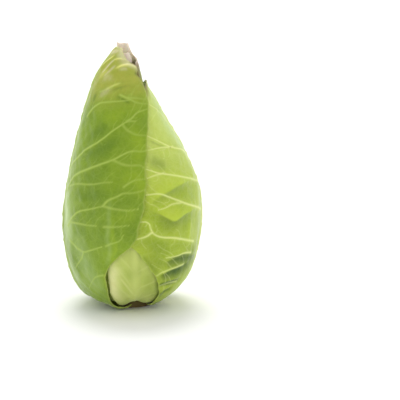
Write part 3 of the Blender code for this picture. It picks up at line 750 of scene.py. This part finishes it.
def driedParts(leaf, v, t, toMargin):
    # how dried and how browned the blade is: smooth steps towards the tips of the back leaf and of the inner
    # leaf under it, and bells beside the front margins
    def past(place):
        return ease((v - dried[place][0]) / dried[place][1])

    def margin(reach):
        return bell(toMargin / dried[reach])

    left = t < 0
    if leaf["name"] == "leaf_back":
        front = margin("backReach") * left * past("backBrown")
        return {"dry": past("backTip"), "brown": dried["edgeBrown"] * front * (1 - past("backBrownEnd"))}
    if leaf["name"] == "leaf_inner_left":
        return {"dry": dried["innerDry"] * past("innerTip"), "brown": dried["innerBrown"] * past("innerTip")}
    if leaf["name"] == "leaf_left":
        return {"dry": dried["leftDry"] * margin("leftReach") * past("leftTip")}
    if leaf["name"] == "leaf_right":
        return {"brown": dried["edgeBrown"] * margin("rightReach") * left * past("rightTip")}
    return {}


def stitchSkins(outer, inner):
    # quads over both skins, and round the rim five triangles for each inner edge, which meets four outer ones
    step = blade["coarse"]
    rows, columns = outer.shape[:2]
    fine = np.arange(rows * columns).reshape(rows, columns)
    rough = np.arange(inner.shape[0] * inner.shape[1]).reshape(inner.shape[:2]) + rows * columns
    front = np.stack([fine[:-1, :-1], fine[:-1, 1:], fine[1:, 1:], fine[1:, :-1]], -1).reshape(-1, 4)
    back = np.stack([rough[:-1, :-1], rough[1:, :-1], rough[1:, 1:], rough[:-1, 1:]], -1).reshape(-1, 4)
    ring = np.concatenate([fine[0, :-1], fine[:-1, -1], fine[-1, :0:-1], fine[:0:-1, 0]])
    under = np.concatenate([rough[0, :-1], rough[:-1, -1], rough[-1, :0:-1], rough[:0:-1, 0]])
    after = np.roll(under, -1)
    a, b, c, d = ring[0::step], ring[1::step], ring[2::step], ring[3::step]
    e = np.roll(a, -1)
    fan = [(b, a, under), (c, b, under), (c, under, after), (d, c, after), (e, d, after)]
    triangles = np.concatenate([np.stack(corners, -1) for corners in fan])
    points = np.concatenate([outer.reshape(-1, 3), inner.reshape(-1, 3)])
    return points, np.concatenate([front, back]), triangles


sharpFrom = 65  # degrees between two faces


def addMesh(name, points, quads, triangles, flat=None, fields=None):
    # whole arrays put straight into a mesh: corners of the quads first, then of the triangles
    corners = np.concatenate([quads.ravel(), triangles.ravel()]).astype(np.int32)
    starts = np.concatenate([np.arange(len(quads)) * 4, quads.size + np.arange(len(triangles)) * 3])
    mesh = bpy.data.meshes.new(name)
    mesh.vertices.add(len(points))
    mesh.vertices.foreach_set("co", (points * mm).astype(np.float32).ravel())
    mesh.loops.add(len(corners))
    mesh.loops.foreach_set("vertex_index", corners)
    mesh.polygons.add(len(starts))
    mesh.polygons.foreach_set("loop_start", starts.astype(np.int32))
    mesh.update(calc_edges=True)
    if flat is not None:
        layer = mesh.uv_layers.new(name="flat")
        layer.data.foreach_set("uv", flat[corners].astype(np.float32).ravel())
    for key, values in (fields or {}).items():
        mesh.attributes.new(key, "FLOAT", "POINT").data.foreach_set("value", values.astype(np.float32))
    mesh.validate()
    mesh.shade_smooth()
    mesh.set_sharp_from_angle(angle=math.radians(sharpFrom))
    made = bpy.data.objects.new(name, mesh)
    bpy.context.scene.collection.objects.link(made)
    return made


def wheel(rings, low, high):
    # a closed solid from rings of points, with a middle point under the first ring and one over the last
    count, around = rings.shape[:2]
    points = np.concatenate([rings.reshape(-1, 3), [low], [high]])
    index = np.arange(count * around).reshape(count, around)
    after = np.roll(index, -1, 1)
    quads = np.stack([index[:-1], after[:-1], after[1:], index[1:]], -1).reshape(-1, 4)
    bottom = np.stack([after[0], index[0], np.full(around, len(points) - 2)], -1)
    top = np.stack([index[-1], after[-1], np.full(around, len(points) - 1)], -1)
    return points, quads, np.concatenate([bottom, top])


def buildHeart():
    # the heart's side with its own leaves in relief, closed by the seat over the stem and by its tip
    rows, around = heart["grid"]
    turn = np.arange(around) * 360 / around
    v, column = np.meshgrid(np.linspace(0, heart["top"], rows), turn, indexing="ij")
    azimuth = column + heart["twist"] * v
    relief = heartRelief(azimuth, v) - heart["sink"]
    smooth = inLayer(heart, azimuth, v, relief)
    height, length, seed = heart["ripple"]
    calm = ease(v / heart["calmEnds"]) * ease((1 - v) / heart["calmEnds"])
    relief = relief + height * ripples(smooth, length, seed) * calm
    rings = inLayer(heart, azimuth, v, relief)
    middle = np.array([0, 0, stem["height"] + heart["seatGap"]])
    shrink = heart["seatRadius"] / side[0, 0]
    seat = rings[0] * [shrink, shrink, 0] + middle
    tip = rings[-1].mean(0) + [0, 0, heart["point"]]
    points, quads, triangles = wheel(np.concatenate([seat[None], rings]), middle, tip)
    up = np.concatenate([np.zeros(around), v.ravel(), [0, 1]])
    return addMesh("heart_leaves", points, quads, triangles, fields={"up": up})


def buildStem():
    # a stub whose radius waves with its ribs; its cut face has a low ring of wood round a sunk pith
    bevel, top = stem["bevel"], stem["height"]
    turn = np.arange(stem["around"]) * 2 * math.pi / stem["around"]
    random = np.random.default_rng(stem["seed"])
    rough = sum(random.uniform(0.3, 1) * np.sin(k * turn + random.uniform(0, 6)) / k for k in range(5, 40, 3))
    waist = stem["radius"] * (1 - stem["ribDepth"] * (1 - np.cos(stem["ribs"] * turn)))
    waist = waist + stem["roughness"] * rough
    rings = []
    for share in np.linspace(stem["faceFrom"], 1, stem["faceRings"]):
        sunk = sum(deep * bell((share - middle) / wide) for deep, middle, wide in stem["sunk"])
        rings.append(((waist - bevel) * share, sunk * (share < stem["faceFlat"])))
    corner = np.linspace(0, math.pi / 2, stem["bevelRings"])[1:]
    for angle in corner:
        rings.append((waist - bevel * (1 - math.sin(angle)), bevel * (1 - math.cos(angle))))
    for share in np.linspace(0, 1, stem["wallRings"])[1:]:
        wave = stem["wallWave"] * np.sin(stem["wallWaves"] * turn + stem["wallTwist"] * share)
        rings.append((waist + wave, bevel + (top - 2 * bevel) * share))
    for angle in corner:
        rings.append((waist - bevel * (1 - math.cos(angle)), top - bevel * (1 - math.sin(angle))))
    grid = np.stack([np.stack([r * np.sin(turn), -r * np.cos(turn), np.full_like(turn, z)], -1)
                     for r, z in rings])
    low, high = np.array([0, 0, stem["middle"]]), np.array([0, 0, top])
    points, quads, triangles = wheel(grid, low, high)
    return addMesh("stem_stub", points, quads, triangles)


# Materials

def shade(red, green, blue):
    # a colour as it is seen on a screen, from 0 to 255, made linear
    linear = [((c / 255 + 0.055) / 1.055) ** 2.4 if c > 10 else c / 255 / 12.92 for c in (red, green, blue)]
    return (*linear, 1)


class Wire:
    # a socket that can be used in sums and products, each of which adds a Math node
    def __init__(self, finish, socket):
        self.finish, self.socket = finish, socket

    def maths(self, operation, *others):
        values = dict(enumerate((self, *others)))
        return self.finish.add("ShaderNodeMath", {"operation": operation}, values)

    def __add__(self, other):
        return self.maths("ADD", other)

    def __sub__(self, other):
        return self.maths("SUBTRACT", other)

    def __rsub__(self, other):
        return self.finish.add("ShaderNodeMath", {"operation": "SUBTRACT"}, {0: other, 1: self})

    def __mul__(self, other):
        return self.maths("MULTIPLY", other)

    def __pow__(self, other):
        return self.maths("POWER", other)

    def most(self, other):
        return self.maths("MAXIMUM", other)

    def band(self, low, high):
        # a smooth step from 0 at low to 1 at high
        values = {"Value": self, "From Min": low, "From Max": high}
        return self.finish.add("ShaderNodeMapRange", {"interpolation_type": "SMOOTHSTEP"}, values)

    __radd__, __rmul__ = __add__, __mul__


class Finish:
    # one material: its constants sit on the shader's own sockets, and what varies is wired to it
    def __init__(self, name, **constants):
        self.material = bpy.data.materials.new(name)
        self.material.use_nodes = True
        self.nodes, self.links = self.material.node_tree.nodes, self.material.node_tree.links
        self.shader = self.nodes["Principled BSDF"]
        for key, value in constants.items():
            self.shader.inputs[key.replace("_", " ")].default_value = value

    def add(self, kind, settings=None, values=None, output=0):
        node = self.nodes.new(kind)
        for key, value in (settings or {}).items():
            if key == "stops":
                while len(node.color_ramp.elements) < len(value):
                    node.color_ramp.elements.new(0.5)
                for element, (place, colour) in zip(node.color_ramp.elements, value):
                    element.position, element.color = place, colour
            else:
                setattr(node, key, value)
        for key, value in (values or {}).items():
            if isinstance(value, Wire):
                self.links.new(value.socket, node.inputs[key])
            else:
                node.inputs[key].default_value = value
        return Wire(self, node.outputs[output])

    def field(self, name):
        return self.add("ShaderNodeAttribute", {"attribute_name": name}, output="Fac")

    def place(self):
        return self.add("ShaderNodeTexCoord", output="Object")

    def noise(self, scale, detail=3.0, roughness=0.55):
        values = {"Vector": self.place(), "Scale": scale, "Detail": detail, "Roughness": roughness}
        return self.add("ShaderNodeTexNoise", None, values)

    def cracks(self, scale, where):
        # the distance to the borders between scattered cells, as a leaf's finest veins part its blade
        values = {"Vector": where, "Scale": scale, "Randomness": 0.9}
        return self.add("ShaderNodeTexVoronoi", {"feature": "DISTANCE_TO_EDGE"}, values)

    def mix(self, share, first, second):
        return self.add("ShaderNodeMix", {"data_type": "RGBA"}, {0: share, 6: first, 7: second}, output=2)

    def warped(self, where, scale, amount):
        # a place pushed about by coloured noise
        values = {"Vector": where, "Scale": scale, "Detail": 2.0}
        noise = self.add("ShaderNodeTexNoise", None, values, "Color")
        middle = self.add("ShaderNodeVectorMath", {"operation": "SUBTRACT"}, {0: noise, 1: (0.5, 0.5, 0.5)})
        push = self.add("ShaderNodeVectorMath", {"operation": "SCALE"}, {0: middle, "Scale": amount})
        return self.add("ShaderNodeVectorMath", {"operation": "ADD"}, {0: where, 1: push})

    def bump(self, height, depth, strength=1.0):
        values = {"Height": height, "Distance": depth, "Strength": strength}
        return self.add("ShaderNodeBump", None, values)

    def feed(self, **inputs):
        for key, wire in inputs.items():
            self.links.new(wire.socket, self.shader.inputs[key.replace("_", " ")])
        return self.material


leafShine = {"Specular_IOR_Level": 0.30,
             "Sheen_Weight": 0.32, "Sheen_Roughness": 0.30, "Sheen_Tint": (0.86, 0.95, 0.66, 1),
             "Subsurface_Weight": 0.12, "Subsurface_Radius": (0.6, 1.0, 0.25), "Subsurface_Scale": 0.0015}

# What each leaf looks like: the blade's darker and lighter greens, its green higher up, its veins and the
# blade beside them, its foot and its rim, and its pale and dark marks, which are painted highlights and
# painted shade where they lie on and under folds and veins
leafLooks = {
    "leaf_left": dict(
        slot="dark_leaf", deep=(104, 134, 10), light=(126, 154, 20), high=(170, 170, 66),
        vein=(172, 194, 86), halo=(120, 146, 26), foot=(128, 152, 44), rim=(170, 182, 84),
        pale=(226, 226, 122), dark=(74, 108, 8),
        veins=0.80, net=0.18, roughness=0.42, highFrom=0.74, highTo=0.88, footTop=0.10),
    # The right leaf's foot and dark colours are deep greens: painted shade at its foot and over its lower
    # right.
    "leaf_right": dict(
        slot="light_leaf", deep=(142, 166, 26), light=(162, 182, 44), high=(196, 212, 110),
        vein=(224, 232, 146), halo=(174, 192, 60), foot=(96, 120, 16), rim=(176, 192, 84),
        pale=(186, 206, 60), dark=(60, 90, 0),
        veins=0.85, net=0.16, roughness=0.44, highFrom=0.40, highTo=0.70, footTop=0.12),
    "leaf_back": dict(
        slot="dark_leaf", deep=(98, 128, 18), light=(120, 148, 32), high=(150, 162, 60),
        vein=(170, 192, 84), halo=(124, 150, 36), foot=(128, 152, 44), rim=(160, 164, 84),
        pale=(196, 204, 104), dark=(78, 110, 10),
        veins=0.80, net=0.22, roughness=0.42, highFrom=0.60, highTo=0.92, footTop=0.10),
    "leaf_front": dict(
        slot="leaf_base", deep=(162, 180, 74), light=(180, 194, 94), high=(188, 200, 112),
        vein=(200, 210, 124), halo=(184, 196, 100), foot=(190, 200, 112), rim=(206, 208, 138),
        pale=(214, 218, 142), dark=(120, 142, 34),
        veins=0.35, net=0.10, roughness=0.44, highFrom=0.4, highTo=0.6, footTop=0.16),
    "leaf_inner_left": dict(
        slot="pale_leaf", deep=(150, 172, 60), light=(172, 188, 82), high=(176, 184, 92),
        vein=(198, 208, 114), halo=(174, 190, 86), foot=(190, 196, 114), rim=(186, 182, 112),
        pale=(206, 210, 124), dark=(116, 140, 34),
        veins=0.8, net=0.20, roughness=0.44, highFrom=0.5, highTo=0.9, footTop=0.15),
}
leafLooks["leaf_inner_right"] = leafLooks["leaf_inner_left"]
# The cool colour, a pale bluish green, is the waxy bloom together with a painted reflection at the grazing
# edges.
markColours = {"light": (150, 176, 24), "cool": (190, 212, 146), "brown": (112, 92, 52)}
# The parched ramp is lighter than the dried blade itself: painted light for the shaded inside of the dried
# tips.
parchedColoursWithPaintedLight = [(0.28, (212, 188, 166)), (0.5, (246, 228, 212)), (0.72, (250, 240, 232))]
leafPattern = {
    # noise scales per metre, detail and roughness
    "cloud": (30.0, 3.0), "mottle": (130.0, 4.0, 0.6), "grain": (1100.0, 2.0), "parched": (160.0, 5.0, 0.65),
    "cloudBand": (0.36, 0.64), "bend": (90.0, 0.006),
    # the two nets of fine veins: cells per metre, width as a share of a cell, strength
    "wide": (150.0, 0.10, 0.7), "fine": (430.0, 0.16, 0.45),
    # shares of each colour, and what raises the surface
    "high": 0.85, "mottled": (0.9, 0.15), "foot": 0.8, "halo": 0.5, "rim": 0.6, "uneven": (0.65, 0.7),
    "netHigh": 0.5, "grainHigh": 0.35, "mottleHigh": 0.6, "deep": 0.0003, "strength": 0.6,
    "roughMottle": 0.16, "roughDry": 0.3,
}


def leafFinish(name, look):
    # greens clouded at three sizes, then marked, with painted highlights, painted shade and a painted rim
    # reflection among the marks, paled by the net of fine veins, the foot, the veins and the rim, and browned
    # where the blade is dried, in parched colours made lighter as painted light
    finish = Finish(name, Roughness=look["roughness"], **leafShine)
    pattern = leafPattern
    bent = finish.warped(finish.add("ShaderNodeUVMap", {"uv_map": "flat"}), *pattern["bend"])
    cloud = finish.noise(*pattern["cloud"]).band(*pattern["cloudBand"])
    mottle, grain = finish.noise(*pattern["mottle"]), finish.noise(*pattern["grain"])
    wide, fine = [(1 - finish.cracks(cells, bent).band(0.0, width)) * strength
                  for cells, width, strength in (pattern["wide"], pattern["fine"])]
    net = wide.most(fine)
    up, dry, brown = finish.field("up"), finish.field("dry"), finish.field("brown")
    uneven = pattern["uneven"][0] + mottle * pattern["uneven"][1]
    stops = [(place, shade(*tint)) for place, tint in parchedColoursWithPaintedLight]
    parched = finish.add("ShaderNodeValToRGB", {"stops": stops}, {"Fac": finish.noise(*pattern["parched"])})

    colour = finish.mix(cloud, shade(*look["deep"]), shade(*look["light"]))
    for share, tint in [
            (up.band(look["highFrom"], look["highTo"]) * pattern["high"], look["high"]),
            ((mottle - 0.5) * pattern["mottled"][0] + pattern["mottled"][1], look["halo"]),
            ((1 - up.band(0.0, look["footTop"])) * pattern["foot"], look["foot"]),
            (net * look["net"], look["vein"]),
            (finish.field("halo") * pattern["halo"], look["halo"]),
            (finish.field("light") * uneven, markColours["light"]),
            (finish.field("cool") * uneven, markColours["cool"]),
            (finish.field("dark") * uneven, look["dark"]),
            (finish.field("pale") * uneven, look["pale"]),
            (finish.field("vein") * look["veins"], look["vein"]),
            (finish.field("rim") * pattern["rim"], look["rim"])]:
        colour = finish.mix(share, colour, shade(*tint))
    colour = finish.mix(dry, colour, parched)
    colour = finish.mix(brown * uneven, colour, shade(*markColours["brown"]))
    height = net * pattern["netHigh"] + grain * pattern["grainHigh"] + mottle * pattern["mottleHigh"]
    roughness = look["roughness"] + (mottle - 0.5) * pattern["roughMottle"] + dry * pattern["roughDry"]
    normal = finish.bump(height, pattern["deep"], pattern["strength"])
    return finish.feed(Base_Color=colour, Roughness=roughness, Normal=normal)


heartLook = {"deep": (186, 198, 108), "light": (208, 216, 142), "tip": (196, 196, 132),
             "tipBand": (0.86, 1.0), "cloud": (40.0, 3.0), "cloudBand": (0.35, 0.65),
             "ribs": (260.0, 3.0), "ribsHigh": (0.0004, 0.5)}


def heartFinish():
    # two pale greens in clouds, yellower at the tip, over a fine ribbed grain
    look = heartLook
    finish = Finish("heart_leaf_finish", Roughness=0.45, **leafShine)
    cloud = finish.noise(*look["cloud"]).band(*look["cloudBand"])
    colour = finish.mix(cloud, shade(*look["deep"]), shade(*look["light"]))
    colour = finish.mix(finish.field("up").band(*look["tipBand"]), colour, shade(*look["tip"]))
    return finish.feed(Base_Color=colour, Normal=finish.bump(finish.noise(*look["ribs"]), *look["ribsHigh"]))


stemLook = {
    # The bark, fibre and side browns are darkened beyond the stem's own colour: painted shade under the head.
    "pith": (212, 206, 150), "wood": (186, 170, 112), "bark": (104, 88, 48), "fibre": (104, 82, 48),
    "side": (120, 112, 58),
    # noise scale and size of the ragged borders, and the radii between which wood and bark start, in metres
    "woodEdge": (220.0, 0.003), "woodFrom": (0.0075, 0.0105), "barkEdge": (300.0, 0.002),
    "barkFrom": (0.0150, 0.0165), "fibres": (700.0, 4.0, 0.65), "fibreBand": (0.45, 0.7),
    "sideFrom": (0.001, 0.006), "share": 0.5, "high": (0.0006, 0.7),
}


def stemFinish():
    # a ring of wood round a pale pith, browned at the cut's edge, along the fibres and up the side; these
    # browns are darker than the stem's own, as painted shade from the head above
    look = stemLook
    finish = Finish("stem_finish", Roughness=0.8, Specular_IOR_Level=0.3)
    place = finish.place()
    x, y, z = [finish.add("ShaderNodeSeparateXYZ", None, {0: place}, output=axis) for axis in "XYZ"]
    across = (x * x + y ** 2.0) ** 0.5
    wood, bark = [(across + finish.noise(look[edge][0]) * look[edge][1]).band(*look[start])
                  for edge, start in (("woodEdge", "woodFrom"), ("barkEdge", "barkFrom"))]
    fibres = finish.noise(*look["fibres"])
    colour = shade(*look["pith"])
    for share, tint in [(wood, "wood"), (bark, "bark"),
                        (fibres.band(*look["fibreBand"]) * look["share"], "fibre"),
                        (z.band(*look["sideFrom"]) * look["share"], "side")]:
        colour = finish.mix(share, colour, shade(*look[tint]))
    return finish.feed(Base_Color=colour, Normal=finish.bump(fibres + wood * look["share"], *look["high"]))


# The stage: a pale floor, a white room, a soft sun and the camera

stage = {"floor": 12.0, "floorColours": [(250, 250, 249), (252, 252, 252)], "room": 0.92,
         "sunStrength": 1.5, "sunAngle": 35.0, "sunFrom": (-0.08, 0.50, 1.0), "sensor": 36.0}


def makeStage():
    half = stage["floor"]
    points = np.array([(-half, -half, 0), (half, -half, 0), (half, half, 0), (-half, half, 0)]) / mm
    floor = addMesh("floor", points, np.array([[0, 1, 2, 3]]), np.zeros((0, 3), int))
    finish = Finish("floor_finish", Roughness=0.7, Specular_IOR_Level=0.2)
    colour = finish.mix(finish.noise(2.0, 2.0), *[shade(*tint) for tint in stage["floorColours"]])
    floor.data.materials.append(finish.feed(Base_Color=colour))
    world = bpy.data.worlds.new("room")
    bpy.context.scene.world = world
    world.use_nodes = True
    room = world.node_tree.nodes["Background"].inputs
    room["Color"].default_value = (1, 1, 1, 1)
    room["Strength"].default_value = stage["room"]
    sun = bpy.data.lights.new("soft_sun", "SUN")
    sun.energy = stage["sunStrength"]
    sun.angle = math.radians(stage["sunAngle"])
    lamp = bpy.data.objects.new("soft_sun", sun)
    bpy.context.scene.collection.objects.link(lamp)
    lamp.rotation_euler = mathutils.Vector(stage["sunFrom"]).to_track_quat("Z", "Y").to_euler()
    bpy.context.scene.view_settings.view_transform = "Standard"


def makeCamera():
    eye, back, _ = cameraAxes()
    lens = bpy.data.cameras.new("camera")
    lens.sensor_width = stage["sensor"]
    lens.lens = lens.sensor_width / 2 / math.tan(math.radians(view["angle"] / 2))
    camera = bpy.data.objects.new("camera", lens)
    camera.location = eye * mm
    camera.rotation_euler = mathutils.Vector(back).to_track_quat("Z", "Y").to_euler()
    bpy.context.scene.collection.objects.link(camera)
    bpy.context.scene.camera = camera


def dress(piece, node, material):
    piece.data.materials.append(material)
    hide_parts(node)
    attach(piece, "root")
    return piece


makeCamera()
makeStage()
print("camera and stage made")

sheets = stackLayers()
print("leaf layers stacked")

for leaf in leaves:
    look = leafLooks[leaf["name"]]
    piece = buildLeaf(leaf, sheets[leaf["name"]])
    dress(piece, leaf["name"], leafFinish(leaf["name"] + "_finish", look))
    print(leaf["name"], "made:", len(piece.data.polygons), "faces")

dress(buildHeart(), "heart", heartFinish())
dress(buildStem(), "stem", stemFinish())
print("heart and stem made")
